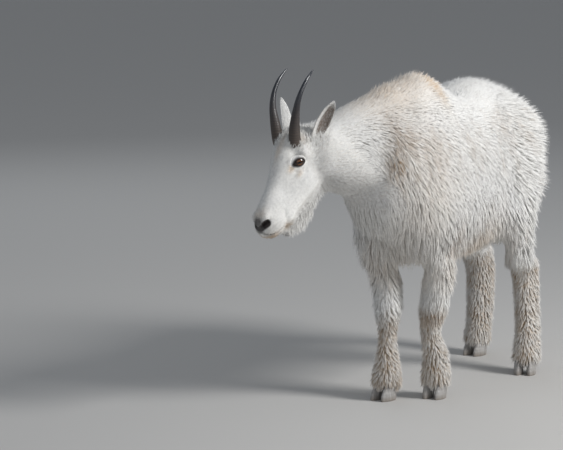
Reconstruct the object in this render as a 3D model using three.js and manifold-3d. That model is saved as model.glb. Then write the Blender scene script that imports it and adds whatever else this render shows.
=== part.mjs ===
// A mountain goat, an adult female in its summer coat, standing still: a life-size model in millimetres.
// +X runs from the rump to the chest, +Y to the animal's left and +Z up.
// The outlines are those of the coat's tips. The origin is on the floor, under the middle of the model's box.
import * as THREE from 'three';
import { mergeVertices } from 'three/addons/utils/BufferGeometryUtils.js';
import Module from 'manifold-3d';

const wasm = await Module();
wasm.setup();

// Driving dimensions
const GAP = 0.3; // between pieces that touch
const ROOM = 0.6; // round a piece that is set in the flesh on a curve
const HEAD_AT = [705, -208, 748]; // middle of the forehead, between the fronts of the horns
const HEAD_TURN = -16; // degrees, to the animal's right
const HEAD_DIP = 45; // degrees, nose down, of the line of the palate
const HEAD_TILT = 2; // degrees, about that line
const EYE_RADIUS = 16;
const EYE_AT = [36, 42, -44]; // forward, left and up from the forehead's middle
const ORBIT_AT = [35, 37, -40]; // the bony rim that the eye sits in
const ORBIT_SIZE = [22, 10, 17];
const HORN_SPLAY = { left: 6, right: 1 }; // the left horn stands out a little more
const HORN_DEPTH = 1.12; // a horn's depth to its width
const CLAW_HEIGHT = 46;
const CLAW_SPREAD = 17; // from the foot's middle to each claw's middle
const SOLE_ROOM = 8; // how far a claw is made below the floor that trims it
const RUMP_FRONT = -130; // where the rump ends and the barrel starts
const BARREL_FRONT = 130;
const FAR = 2000; // past every side of the animal

const FEET = {
  front_left: { at: [290, 55], toe: 2 },
  front_right: { at: [380, -56], toe: -10 },
  hind_left: { at: [-160, 132], toe: 14 },
  hind_right: { at: [-385, -120], toe: -8 },
};

// A station of a loft: its centre, its half width, its half heights above and below the centre, how much it
// narrows towards its top, and how far its sides rise over its middle.
const station = (at, wide, up, down, taper = 0, cup = 0) => ({ at, wide, up, down, taper, cup });

// A closed skin of rings carried along a smooth path through the stations. Up is the direction that a
// section's top faces. A round end closes as an ellipse does over that share of the path.
// An end of 0 is flat.
const PLAIN_LOFT = { up: [0, 0, 1], sides: 24, rings: 20, round: [0.15, 0.15], square: 2.2 };
function loft(spec, grow = 0) {
  const { stations, up, sides, rings, round, square } = { ...PLAIN_LOFT, ...spec };
  const curve = (points) => new THREE.CatmullRomCurve3(points, false, 'catmullrom', 0.5);
  const spine = curve(stations.map((s) => new THREE.Vector3(...s.at)));
  const sizes = curve(stations.map((s) => new THREE.Vector3(s.wide, s.up, s.down)));
  const forms = curve(stations.map((s) => new THREE.Vector3(s.taper, s.cup, 0)));
  const halfStep = 0.5 / (rings - 2);
  const closing = (t, share) => {
    if (share === 0 || t > share) return 1;
    return Math.sqrt(1 - (1 - (t + halfStep) / (share + halfStep)) ** 2);
  };
  const bulge = (v) => Math.sign(v) * Math.abs(v) ** (2 / square);
  const geometry = new THREE.SphereGeometry(1, sides, rings);
  const position = geometry.attributes.position;
  for (let i = 0; i < position.count; i++) {
    const row = Math.floor(i / (sides + 1));
    const angle = (2 * Math.PI * (i % (sides + 1) % sides)) / sides;
    const t = Math.min(1, Math.max(0, (row - 1) / (rings - 2)));
    const along = spine.getTangent(t);
    const top = new THREE.Vector3(...up).projectOnPlane(along).normalize();
    const left = top.clone().cross(along);
    const size = sizes.getPoint(t);
    const form = forms.getPoint(t);
    const pole = row === 0 || row === rings;
    const share = pole ? 0 : closing(t, round[0]) * closing(1 - t, round[1]);
    const across = bulge(-Math.cos(angle));
    const rise = bulge(Math.sin(angle));
    const wide = (size.x + grow) * share * across * (1 - form.x * rise);
    const high = ((rise > 0 ? size.y : size.z) + grow) * share * rise + form.y * across * across * share;
    const point = spine.getPoint(t).addScaledVector(left, wide).addScaledVector(top, high);
    if (pole) point.addScaledVector(along, row === 0 ? -grow : grow);
    position.setXYZ(i, ...point.toArray());
  }
  return geometry;
}

// A closed geometry as a manifold solid.
function solid(geometry) {
  const bare = geometry.clone();
  bare.deleteAttribute('normal');
  bare.deleteAttribute('uv');
  const merged = mergeVertices(bare, 1e-3);
  const vertProperties = new Float32Array(merged.attributes.position.array);
  const triVerts = new Uint32Array(merged.index.array);
  return new wasm.Manifold(new wasm.Mesh({ numProp: 3, vertProperties, triVerts }));
}

const union = (solids) => solids.reduce((sum, next) => sum.add(next));

// A solid as a named mesh.
function piece(name, material, body) {
  const mesh = body.getMesh();
  const geometry = new THREE.BufferGeometry();
  geometry.setAttribute('position', new THREE.BufferAttribute(new Float32Array(mesh.vertProperties), 3));
  geometry.setIndex(new THREE.BufferAttribute(new Uint32Array(mesh.triVerts), 1));
  geometry.computeVertexNormals();
  const made = new THREE.Mesh(geometry, material);
  made.name = name;
  return made;
}

// The box between two corners, in a frame of its own where one is given.
function box([low, high], frame = new THREE.Matrix4(), grow = 0) {
  const size = high.map((v, i) => v - low[i] + 2 * grow);
  const middle = high.map((v, i) => (v + low[i]) / 2);
  return solid(new THREE.BoxGeometry(...size).translate(...middle).applyMatrix4(frame));
}

function finish(color, roughness) {
  return new THREE.MeshStandardMaterial({ color, roughness, metalness: 0 });
}

const COAT = finish(0xe9e4da, 0.95);
const LEG_COAT = finish(0xd2c4ac, 0.95);
const HORN = finish(0x1d1b1c, 0.4);
const HOOF = finish(0x6f6b66, 0.6);
const EYE = finish(0x3a2112, 0.1);

// A frame at a point, turned to the left, then dipped to the front, then tilted, in degrees.
const radians = THREE.MathUtils.degToRad;
function frameAt(at, turn, dip, tilt = 0) {
  return new THREE.Matrix4()
    .makeTranslation(...at)
    .multiply(new THREE.Matrix4().makeRotationZ(radians(turn)))
    .multiply(new THREE.Matrix4().makeRotationY(radians(dip)))
    .multiply(new THREE.Matrix4().makeRotationX(radians(tilt)));
}

// The head's frame: X along the palate to the nose, Y left, Z up from the forehead.
const headFrame = frameAt(HEAD_AT, HEAD_TURN, HEAD_DIP, HEAD_TILT);

// The head's cut runs from behind the ears to the throat. The neck's leans back and faces along the neck.
const headCut = headFrame.clone().multiply(frameAt([-74, 0, -40], 0, -16));
const neckCut = frameAt([392, -42, 700], -27, -16);

// What each cut takes, as a box between two corners in the frame of the head or of the cut.
const MUZZLE_BOX = [[128, -90, -122], [330, 90, 60]];
const JAW_BOX = [[14, -90, -260], [330, 90, -122 - GAP]];
const HEAD_BOX = [[0, -130, -200], [400, 130, 200]];
const NECK_BOX = [[0, -240, -150], [420, 240, 320]];
const RUMP_BOX = [[-FAR, -FAR, -FAR], [RUMP_FRONT, FAR, FAR]];
const BARREL_BOX = [[RUMP_FRONT + GAP, -FAR, -FAR], [BARREL_FRONT, FAR, FAR]];
const UNDERGROUND = [[-FAR, -FAR, -FAR], [FAR, FAR, 0]];

// The heights at which a leg leaves the trunk and is parted, down to its foot, and the names of its parts.
const FRONT_CUTS = { heights: [430, 250, -FAR], names: ['forearm', 'shank'] };
const HIND_CUTS = { heights: [590, 410, 292, -FAR], names: ['thigh', 'gaskin', 'shank'] };
const LEG_CUTS = {
  front_left: FRONT_CUTS, front_right: FRONT_CUTS, hind_left: HIND_CUTS, hind_right: HIND_CUTS,
};

const TRUNK = {
  stations: [
    station([-442, -66, 650], 78, 60, 118, 0),
    station([-400, -64, 650], 132, 96, 172, 0),
    station([-330, -61, 650], 170, 134, 232, 0),
    station([-250, -57, 650], 180, 178, 276, 0.06),
    station([-150, -52, 645], 174, 211, 288, 0.14),
    station([-50, -46, 640], 170, 199, 284, 0.18),
    station([60, -38, 635], 168, 188, 272, 0.2),
    station([140, -31, 632], 163, 216, 266, 0.24),
    station([220, -25, 630], 157, 258, 258, 0.28),
    station([310, -22, 628], 150, 272, 245, 0.28),
    station([390, -32, 625], 142, 224, 232, 0.22),
    station([450, -48, 612], 126, 160, 185, 0.12),
    station([498, -62, 600], 98, 100, 120, 0.06),
    station([522, -68, 604], 74, 72, 84, 0.02),
  ],
  sides: 24,
  rings: 18,
  round: [0.07, 0.07],
  square: 2.3,
};

const NECK = {
  stations: [
    station([290, -20, 700], 140, 192, 190, 0.24),
    station([400, -58, 702], 126, 174, 185, 0.22),
    station([470, -94, 705], 110, 140, 150, 0.16),
    station([540, -130, 703], 97, 113, 118, 0.1),
    station([600, -162, 707], 86, 88, 98, 0.04),
    station([645, -186, 712], 76, 68, 84, 0),
  ],
  sides: 20,
  rings: 10,
  round: [0.1, 0.1],
};

// The head and what grows on it are in the head's own frame.
const SKULL = {
  stations: [
    station([-88, 0, -92], 48, 56, 54, 0),
    station([-52, 0, -94], 62, 84, 90, 0.06),
    station([-10, 0, -96], 60, 96, 108, 0.06),
    station([32, 0, -100], 56, 93, 106, 0.12),
    station([72, 0, -106], 51, 84, 94, 0.2),
    station([112, 0, -108], 44, 71, 78, 0.28),
    station([150, 0, -108], 41, 60, 62, 0.28),
    station([188, 0, -108], 39, 53, 50, 0.24),
    station([216, 0, -108], 35, 46, 42, 0.16),
    station([240, 0, -106], 25, 32, 30, 0.08),
  ],
  sides: 20,
  rings: 16,
  round: [0.1, 0.08],
  square: 2.4,
};

const BEARD = {
  stations: [
    station([30, 0, -168], 32, 24, 34),
    station([80, 0, -186], 29, 26, 42),
    station([125, 0, -186], 25, 26, 39),
    station([158, 0, -176], 23, 30, 26),
    station([180, 0, -161], 20, 26, 20),
    station([197, 0, -148], 15, 14, 12),
  ],
  sides: 10,
  rings: 7,
  round: [0.3, 0.25],
};

// A leg is a column from its shoulder or hip down to its foot; its sections' tops face forward.
const column = (stations) => ({ stations, up: [1, 0, 0], sides: 12, rings: 16, round: [0.12, 0.06] });

const LEGS = {
  front_left: column([
    station([290, 60, 640], 66, 95, 105),
    station([292, 46, 520], 64, 84, 82),
    station([288, 54, 430], 56, 68, 68),
    station([284, 59, 370], 46, 56, 56),
    station([286, 51, 300], 43, 50, 49),
    station([289, 45, 245], 40, 48, 46),
    station([292, 38, 200], 30, 36, 34),
    station([292, 40, 162], 28, 33, 33),
    station([288, 52, 122], 36, 40, 41),
    station([288, 53, 62], 40, 44, 46),
    station([292, 55, 26], 39, 42, 42),
  ]),
  front_right: column([
    station([320, -100, 640], 66, 100, 110),
    station([345, -120, 530], 66, 88, 86),
    station([342, -106, 440], 58, 72, 72),
    station([332, -84, 360], 45, 54, 56),
    station([345, -70, 290], 41, 46, 48),
    station([356, -63, 240], 36, 43, 44),
    station([362, -60, 198], 27, 30, 32),
    station([366, -59, 160], 25, 29, 32),
    station([371, -57, 122], 31, 36, 39),
    station([376, -56, 62], 41, 44, 46),
    station([382, -56, 26], 39, 42, 42),
  ]),
  hind_left: column([
    station([-235, 40, 690], 78, 125, 120),
    station([-190, 76, 590], 76, 122, 124),
    station([-150, 104, 490], 52, 94, 96),
    station([-162, 106, 400], 42, 74, 68),
    station([-186, 99, 350], 42, 62, 56),
    station([-216, 100, 305], 39, 47, 52),
    station([-216, 107, 245], 37, 42, 45),
    station([-192, 122, 165], 35, 40, 42),
    station([-172, 132, 100], 36, 41, 42),
    station([-163, 134, 58], 39, 46, 46),
    station([-160, 132, 26], 37, 42, 42),
  ]),
  hind_right: column([
    station([-270, -150, 690], 74, 125, 115),
    station([-262, -160, 590], 70, 118, 118),
    station([-268, -156, 490], 56, 96, 98),
    station([-325, -146, 390], 46, 68, 68),
    station([-410, -132, 300], 44, 52, 54),
    station([-418, -125, 235], 42, 46, 48),
    station([-404, -119, 160], 40, 44, 46),
    station([-392, -117, 100], 38, 42, 43),
    station([-387, -120, 58], 38, 46, 46),
    station([-385, -120, 26], 37, 42, 42),
  ]),
};

const TAIL = {
  stations: [
    station([-410, -64, 740], 26, 22, 20),
    station([-446, -66, 712], 30, 20, 18),
    station([-466, -67, 664], 26, 16, 14),
    station([-470, -67, 622], 12, 9, 8),
  ],
  up: [-1, 0, 1],
  sides: 10,
  rings: 7,
  round: [0.1, 0.3],
};

// An ear is a leaf, cupped, with its hollow to the front and side.
function ear(side) {
  return {
    stations: [
      station([-37, side * 50, -64], 14, 7, 7, 0, 2),
      station([-63, side * 50, -44], 21, 5, 5, 0, 8),
      station([-94, side * 61, -26], 24, 4, 4, 0, 11),
      station([-119, side * 79, -10], 19, 3.5, 3.5, 0, 8),
      station([-137, side * 99, 5], 8, 3, 3, 0, 2),
    ],
    up: [0.55, side * 0.75, -0.1],
    sides: 12,
    rings: 7,
    round: [0, 0.2],
  };
}

// A horn rises back from the forehead and curves further back to its tip; one stands out a little more.
function horn(side) {
  const splay = side > 0 ? HORN_SPLAY.left : HORN_SPLAY.right;
  const rise = [
    [-4, 31, -12, 15.5, 0],
    [-21, 33, 12, 14.3, 0.3],
    [-39, 36, 34, 11.8, 0.7],
    [-58, 40, 54, 9.2, 1],
    [-80, 43.5, 69.5, 7.2, 1],
    [-106, 46, 80, 5.7, 1],
    [-140, 48, 85, 4.4, 0.6],
    [-176, 48.5, 82, 1.8, 0],
  ];
  const ring = ([x, y, z, radius, out]) => {
    const depth = radius * HORN_DEPTH;
    return station([x, side * (y + splay * out), z], radius, depth, depth);
  };
  return {
    stations: rise.map(ring),
    sides: 9,
    rings: 12,
    round: [0, 0.05],
    square: 2,
  };
}

// One of a foot's two claws, with a rounded toe. It starts below the floor, which trims its sole flat.
function claw(name, side) {
  const { at: [x, y], toe } = FEET[name];
  const heading = radians(toe);
  const along = (forward, left) => [
    x + forward * Math.cos(heading) - left * Math.sin(heading),
    y + forward * Math.sin(heading) + left * Math.cos(heading),
  ];
  const left = side * CLAW_SPREAD;
  return {
    stations: [
      station([...along(15, left), -SOLE_ROOM], 14, 32, 32),
      station([...along(12, left), CLAW_HEIGHT * 0.35], 14.5, 31, 31),
      station([...along(6, left), CLAW_HEIGHT * 0.7], 14, 27, 29),
      station([...along(0, left), CLAW_HEIGHT], 11, 21, 25),
    ],
    up: [Math.cos(heading), Math.sin(heading), 0],
    sides: 10,
    rings: 4,
    round: [0, 0],
    square: 2.4,
  };
}

// What stands in the flesh.
const inHead = (spec, grow) => solid(loft(spec, grow).applyMatrix4(headFrame));
function ball(size, [x, y, z], side, [sides, rings]) {
  const geometry = new THREE.SphereGeometry(1, sides, rings).scale(...size).translate(x, side * y, z);
  return solid(geometry.applyMatrix4(headFrame));
}
const eyeball = (side, grow = 0) => ball(Array(3).fill(EYE_RADIUS + grow), EYE_AT, side, [12, 8]);
const orbit = (side) => ball(ORBIT_SIZE, ORBIT_AT, side, [12, 6]);
const hoof = (foot, side, grow = 0) => solid(loft(claw(foot, side), grow)).subtract(box(UNDERGROUND));

// Each piece that is set in the flesh: its name, material, solid and the room that it takes there.
const set = [];
for (const [side, out] of [['left', 1], ['right', -1]]) {
  set.push([`horn_${side}`, HORN, inHead(horn(out)), inHead(horn(out), ROOM)]);
  set.push([`ear_${side}`, COAT, inHead(ear(out)), inHead(ear(out), ROOM)]);
  set.push([`eye_${side}`, EYE, eyeball(out), eyeball(out, GAP)]);
}
for (const foot of Object.keys(FEET)) {
  const out = foot.endsWith('left') ? 1 : -1;
  for (const [edge, side] of [['outer', out], ['inner', -out]]) {
    set.push([`hoof_${foot}_${edge}`, HOOF, hoof(foot, side), hoof(foot, side, GAP)]);
  }
}
set.push(['tail', COAT, solid(loft(TAIL)), solid(loft(TAIL, ROOM))]);

// The flesh in one solid, with that room taken out.
const skull = union([inHead(SKULL), inHead(BEARD), orbit(1), orbit(-1)]);
const flesh = union([skull, ...[TRUNK, NECK, ...Object.values(LEGS)].map((spec) => solid(loft(spec)))]);

const goat = new THREE.Group();
let rest = flesh.subtract(union(set.map(([, , , room]) => room)));

// Takes a region out of what is left of the flesh, and leaves a gap round it.
function take(region, room) {
  const part = rest.intersect(region);
  rest = rest.subtract(room);
  return part;
}
const takeBox = (corners, frame) => take(box(corners, frame), box(corners, frame, GAP));
const add = (name, material, body) => goat.add(piece(name, material, body));

add('muzzle', COAT, takeBox(MUZZLE_BOX, headFrame));
add('jaw', COAT, takeBox(JAW_BOX, headFrame));
add('head', COAT, takeBox(HEAD_BOX, headCut));
add('neck', COAT, takeBox(NECK_BOX, neckCut));

// Each leg comes off as a column, which is then parted by height.
for (const [leg, { heights, names }] of Object.entries(LEG_CUTS)) {
  const below = [[-FAR, -FAR, -FAR], [FAR, FAR, heights[0]]];
  const [region, room] = [[0, 0], [ROOM, GAP]].map(([round, over]) => {
    return solid(loft(LEGS[leg], round)).intersect(box(below, undefined, over));
  });
  const limb = take(region, room);
  names.forEach((name, i) => {
    const top = heights[i] - (i > 0 ? GAP / 2 : 0);
    const layer = [[-FAR, -FAR, heights[i + 1] + GAP / 2], [FAR, FAR, top]];
    add(`${name}_${leg}`, i > 0 ? LEG_COAT : COAT, limb.intersect(box(layer)));
  });
}
add('rump', COAT, takeBox(RUMP_BOX));
add('barrel', COAT, takeBox(BARREL_BOX));
add('chest', COAT, rest);
for (const [name, material, body] of set) add(name, material, body);

// The origin goes to the floor under the middle of the whole.
const whole = new THREE.Box3().setFromObject(goat);
const middle = whole.getCenter(new THREE.Vector3());
for (const mesh of goat.children) mesh.geometry.translate(-middle.x, -middle.y, -whole.min.z);

export default goat;
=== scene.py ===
import bmesh
import bpy
import numpy as np
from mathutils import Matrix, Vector


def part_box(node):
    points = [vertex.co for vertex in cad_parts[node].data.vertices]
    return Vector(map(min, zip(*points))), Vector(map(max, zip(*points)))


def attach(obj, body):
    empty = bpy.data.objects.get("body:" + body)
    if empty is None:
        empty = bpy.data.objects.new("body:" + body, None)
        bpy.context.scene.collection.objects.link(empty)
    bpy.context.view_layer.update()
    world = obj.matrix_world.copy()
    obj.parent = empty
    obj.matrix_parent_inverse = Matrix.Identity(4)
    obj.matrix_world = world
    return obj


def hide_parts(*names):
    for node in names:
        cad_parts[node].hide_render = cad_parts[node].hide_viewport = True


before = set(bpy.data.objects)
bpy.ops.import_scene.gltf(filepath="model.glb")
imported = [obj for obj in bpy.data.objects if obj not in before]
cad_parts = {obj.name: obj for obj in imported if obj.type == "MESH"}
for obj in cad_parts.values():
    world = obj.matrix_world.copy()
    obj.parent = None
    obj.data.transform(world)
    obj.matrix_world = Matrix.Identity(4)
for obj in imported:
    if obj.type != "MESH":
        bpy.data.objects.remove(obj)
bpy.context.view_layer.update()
dice = np.random.default_rng(27)
print("frame loaded")


# Plain helpers on arrays of points

def unit(v):
    # each vector over its own length
    return v / np.maximum(np.linalg.norm(v, axis=-1, keepdims=True), 1e-9)


def ramp(x, low, high):
    # 3t² - 2t³, where t is how far x has come from low to high
    t = np.clip((x - low) / (high - low), 0, 1)
    return t * t * (3 - 2 * t)


def mix(a, b, share):
    # a and b in the shares 1 - share and share
    return a + (b - a) * share


def rounded(x, power):
    # the size of x to a power, with the sign of x
    return np.sign(x) * np.abs(x) ** power


def around(count):
    # that many angles, evenly round a full turn
    return np.linspace(0, 2 * np.pi, count, endpoint=False)


def spot(points, at, size):
    # a soft egg: exp(-r²), with r counted in its own half sizes
    return np.exp(-(((points - np.array(at)) / np.array(size)) ** 2).sum(-1))


def spotSum(points, spots):
    # each spot's strength times its egg, added up
    return sum(s["strength"] * spot(points, s["at"], s["size"]) for s in spots)


def ripple(points, size, seed):
    # slow noise from -1 to 1: the mean of six sine waves, each along its own way, about size apart
    ways = np.random.default_rng(seed).normal(size=(6, 3)) * 2 * np.pi / size / 1.7
    phases = np.random.default_rng(seed + 1).uniform(0, 2 * np.pi, 6)
    return np.sin(points @ ways.T + phases).mean(-1) * 1.7


def turned(axis, degrees):
    # the 3 by 3 matrix of a turn about one of the axes
    c, s = np.cos(np.radians(degrees)), np.sin(np.radians(degrees))
    a, b = [(1, 2), (2, 0), (0, 1)]["xyz".index(axis)]
    turn = np.eye(3)
    turn[a, a] = turn[b, b] = c
    turn[a, b], turn[b, a] = -s, s
    return turn


def middleOf(node):
    # the middle of a node's box
    low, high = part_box(node)
    return (np.array(low) + np.array(high)) / 2


# Where the head is. Its own frame, in mm, has X along the palate to the nose, Y left and Z up from the brow.
head = {
    "turn": -16,  # degrees, to the animal's right
    "dip": 45,  # nose down
    "tilt": 2,
    "eyes": (36, 0, -44),  # middle between the eyes, from the forehead's middle
}
headAxes = turned("z", head["turn"]) @ turned("y", head["dip"]) @ turned("x", head["tilt"])
headAt = (middleOf("eye_left") + middleOf("eye_right")) / 2 - headAxes @ np.array(head["eyes"]) / 1000
sides = {"left": 1, "right": -1}


def toHead(points):
    # places in the row's frame, metres, to the head's own, mm
    return (points - headAt) @ headAxes * 1000


def fromHead(points):
    # and back
    return headAt + np.asarray(points, float) @ headAxes.T / 1000


def mirrored(local):
    # rows that flip the sideways coordinate of what lies on the head's right
    return np.stack([np.ones(len(local)), np.where(local[:, 1] < 0, -1.0, 1.0), np.ones(len(local))], 1)


def folded(local):
    # what lies on the head's right, flipped over to its left
    return local * mirrored(local)


# Camera, at the picture's viewing angle
camera = {
    "target": (0.0709, -0.3996, 0.4424),
    "azimuth": 27,  # from +X towards +Y
    "elevation": 8,
    "distance": 10,
    "focal": 3530,  # pixels
    "width": 563,  # pixels
    "sensor": 36,  # mm
}


def makeCamera():
    a, e = np.radians(camera["azimuth"]), np.radians(camera["elevation"])
    back = Vector((np.cos(a) * np.cos(e), np.sin(a) * np.cos(e), np.sin(e)))
    lens = bpy.data.cameras.new("camera")
    lens.sensor_width = camera["sensor"]
    lens.lens = camera["focal"] / camera["width"] * camera["sensor"]
    lens.clip_end = 100
    rig = bpy.data.objects.new("camera", lens)
    rig.location = Vector(camera["target"]) + back * camera["distance"]
    rig.rotation_euler = (-back).to_track_quat("-Z", "Y").to_euler()
    bpy.context.scene.collection.objects.link(rig)
    bpy.context.scene.camera = rig


makeCamera()
print("camera set")


# Mesh helpers

def newPiece(name, points, faceSets, material=None):
    # a mesh object from a point array and arrays of faces of one size each
    mesh = bpy.data.meshes.new(name)
    corners = np.concatenate([faces.ravel() for faces in faceSets]).astype(np.int32)
    sizes = np.concatenate([np.full(len(faces), faces.shape[1]) for faces in faceSets])
    mesh.vertices.add(len(points))
    mesh.vertices.foreach_set("co", np.asarray(points, np.float32).ravel())
    mesh.loops.add(len(corners))
    mesh.loops.foreach_set("vertex_index", corners)
    mesh.polygons.add(len(sizes))
    mesh.polygons.foreach_set("loop_start", (np.cumsum(sizes) - sizes).astype(np.int32))
    mesh.polygons.foreach_set("use_smooth", np.ones(len(sizes), bool))
    mesh.update(calc_edges=True)
    if material:
        mesh.materials.append(material)
    piece = bpy.data.objects.new(name, mesh)
    bpy.context.scene.collection.objects.link(piece)
    return piece


def settled(piece, slot, *nodes):
    # the piece stands for its CAD nodes, and rides on the one body
    if nodes:
        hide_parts(*nodes)
    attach(piece, "root")
    return piece


def setValues(piece, **values):
    # a float attribute of the points for each name, or a vector one for an array of three columns
    for name, value in values.items():
        value = np.asarray(value, np.float32)
        kind, key = ("FLOAT_VECTOR", "vector") if value.ndim == 2 else ("FLOAT", "value")
        attribute = piece.data.attributes.new(name, kind, "POINT")
        attribute.data.foreach_set(key, value.ravel())


def readVectors(rows, key):
    # rows of three numbers out of a mesh
    values = np.empty(len(rows) * 3, np.float32)
    rows.foreach_get(key, values)
    return values.reshape(-1, 3).astype(float)


def meshArrays(mesh):
    # its points and its triangles, as arrays
    mesh.calc_loop_triangles()
    triangles = np.empty(len(mesh.loop_triangles) * 3, np.int32)
    mesh.loop_triangles.foreach_get("vertices", triangles)
    return readVectors(mesh.vertices, "co"), triangles.reshape(-1, 3)


def sumAt(index, values, count):
    # for each place in count, the sum of the rows of values whose index is that place
    return np.stack([np.bincount(index, column, count) for column in values.T], 1)


def pointNormals(points, faces):
    # each point's normal: its triangles' cross products, added up
    a, b, c = (points[faces[:, k]] for k in range(3))
    cross = np.cross(b - a, c - a)
    return unit(sumAt(faces.ravel(), np.repeat(cross, 3, 0), len(points)))


def edgesOf(faces):
    # each edge once, as pairs of points
    pairs = np.concatenate([faces[:, [0, 1]], faces[:, [1, 2]], faces[:, [2, 0]]])
    return np.unique(np.sort(pairs, 1), axis=0)


def relaxed(values, edges, rounds, share=0.5):
    # each round moves a value by share towards the mean of its neighbours'
    ends = np.concatenate([edges[:, 0], edges[:, 1]])
    others = np.concatenate([edges[:, 1], edges[:, 0]])
    count = np.maximum(np.bincount(ends, minlength=len(values)), 1)[:, None]
    kept = values.reshape(len(values), -1)
    for _ in range(rounds):
        kept = kept + (sumAt(ends, kept[others], len(kept)) / count - kept) * np.reshape(share, (-1, 1))
    return kept.reshape(values.shape)


def outward(points, faces):
    # the same quads, turned over if they enclose less than nothing
    a, b, c, d = (points[faces[:, k]] for k in range(4))
    volume = (np.cross(a, b) * c).sum() + (np.cross(a, c) * d).sum()
    return faces if volume > 0 else faces[:, ::-1]


def gridFaces(rows, columns, closed=False):
    # the quads between the points of a grid whose rows are rings; closed joins the last row to the first
    row, column = np.meshgrid(np.arange(rows - (not closed)), np.arange(columns), indexing="ij")
    row, column = row.ravel(), column.ravel()
    under, beside = (row + 1) % rows, (column + 1) % columns
    here, below = row * columns, under * columns
    return np.stack([here + column, here + beside, below + beside, below + column], 1)


def closedRings(rings):
    # points and faces of a closed skin: rings, rows by columns, with a middle point at each end
    rows, columns = rings.shape[:2]
    points = np.concatenate([rings.reshape(-1, 3), rings[:1].mean(1), rings[-1:].mean(1)])
    first, last = rows * columns, rows * columns + 1
    here = np.arange(columns)
    beside = (here + 1) % columns
    start = np.stack([np.full(columns, first), beside, here], 1)
    end = np.stack([np.full(columns, last), here + (rows - 1) * columns, beside + (rows - 1) * columns], 1)
    return points, [gridFaces(rows, columns), start, end]


def ringValues(values, columns):
    # a value for each ring, on all its points, and 0 and 1 on the two middle points
    return np.append(np.repeat(values, columns), [0, 1])


def through(values, t):
    # a smooth run through the rows of values, at t from 0 to 1: a cubic between each two, and the slope at a
    # row is half the step from the row before it to the row after
    values = np.asarray(values, float)
    ended = np.concatenate([2 * values[:1] - values[1:2], values, 2 * values[-1:] - values[-2:-1]])
    at = np.clip(t, 0, 1) * (len(values) - 1)
    k = np.minimum(at.astype(int), len(values) - 2)
    u = (at - k)[:, None]
    a, b, c, d = ended[k], ended[k + 1], ended[k + 2], ended[k + 3]
    return 0.5 * (2 * b + (c - a) * u + (2 * a - 5 * b + 4 * c - d) * u**2 + (3 * b - a - 3 * c + d) * u**3)


def carried(path, up, count, across, high):
    # rings along a smooth path: each point is centre + left * across + top * high, where across and high have
    # a row for each ring and a column for each point round it
    centre = through(path, np.linspace(0, 1, count))
    ahead = unit(np.gradient(centre, axis=0))
    top = unit(np.array(up) - (ahead @ np.array(up))[:, None] * ahead)
    left = np.cross(top, ahead)
    return centre[:, None] + left[:, None] * across[..., None] + top[:, None] * high[..., None]


# Shader helper

class Wire:
    # a socket of a node tree: sums on it add Math nodes, and node() adds any other node

    def __init__(self, tree, socket=None):
        self.tree = tree
        self.socket = socket

    def node(self, kind, settings=None, output=0, **values):
        # a node of a type, its settings first, then the values or links of its sockets; s3 is its socket 3
        made = self.tree.nodes.new(kind)
        for name, setting in (settings or {}).items():
            setattr(made, name, setting)
        for name, value in values.items():
            key = int(name[1:]) if name[1:].isdigit() else name.replace("_", " ")
            target = made.inputs[key]
            if isinstance(value, Wire):
                self.tree.links.new(value.socket, target)
            else:
                target.default_value = value
        return Wire(self.tree, made.outputs[output])

    def math(self, operation, first, second):
        return self.node("ShaderNodeMath", {"operation": operation}, s0=first, s1=second)

    def __add__(self, other):
        return self.math("ADD", self, other)

    def __sub__(self, other):
        return self.math("SUBTRACT", self, other)

    def __rsub__(self, other):
        return self.math("SUBTRACT", other, self)

    def __mul__(self, other):
        return self.math("MULTIPLY", self, other)

    def __truediv__(self, other):
        return self.math("DIVIDE", self, other)

    def __pow__(self, other):
        return self.math("POWER", self, other)

    __radd__ = __add__
    __rmul__ = __mul__

    def clipped(self):
        return self.node("ShaderNodeClamp", Value=self)

    def value(self, name):
        # one of the piece's own attributes
        return self.node("ShaderNodeAttribute", {"attribute_name": name}, output="Fac")

    def place(self):
        return self.node("ShaderNodeTexCoord", output="Object")

    def mapped(self, **values):
        return self.node("ShaderNodeMapping", Vector=self, **values)

    def noise(self, scale, detail=3, roughness=0.55):
        return self.node("ShaderNodeTexNoise", Vector=self, Scale=scale, Detail=detail, Roughness=roughness)

    def blend(self, share, first, second, how="MIX"):
        # two colours, or a wire and a colour, mixed
        settings = {"data_type": "RGBA", "blend_type": how}
        return self.node("ShaderNodeMix", settings, output=2, s0=share, s6=first, s7=second)

    def shaded(self, light):
        # this colour times a number
        grey = self.node("ShaderNodeCombineColor", Red=light, Green=light, Blue=light)
        return self.blend(1.0, self, grey, "MULTIPLY")

    def bump(self, strength, distance):
        # the normal of this wire as a height
        return self.node("ShaderNodeBump", Strength=strength, Distance=distance, Height=self)


def newMaterial(name, roughness, specular, coat=0.0):
    # a material, the wire that its patterns start from, and what plugs them in
    material = bpy.data.materials.new(name)
    material.use_nodes = True
    tree = material.node_tree
    shader = tree.nodes["Principled BSDF"]
    shader.inputs["Roughness"].default_value = roughness
    shader.inputs["Specular IOR Level"].default_value = specular
    shader.inputs["Coat Weight"].default_value = coat

    def plug(**wires):
        for socket, wire in wires.items():
            tree.links.new(wire.socket, shader.inputs[socket.replace("_", " ")])

    return material, Wire(tree), plug


def colour(hexCode):
    # a colour as written for screens, in the shader's linear light
    values = np.array([int(hexCode[i:i + 2], 16) for i in (0, 2, 4)]) / 255
    linear = np.where(values < 0.04045, values / 12.92, ((values + 0.055) / 1.055) ** 2.4)
    return (*linear.tolist(), 1)


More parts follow.
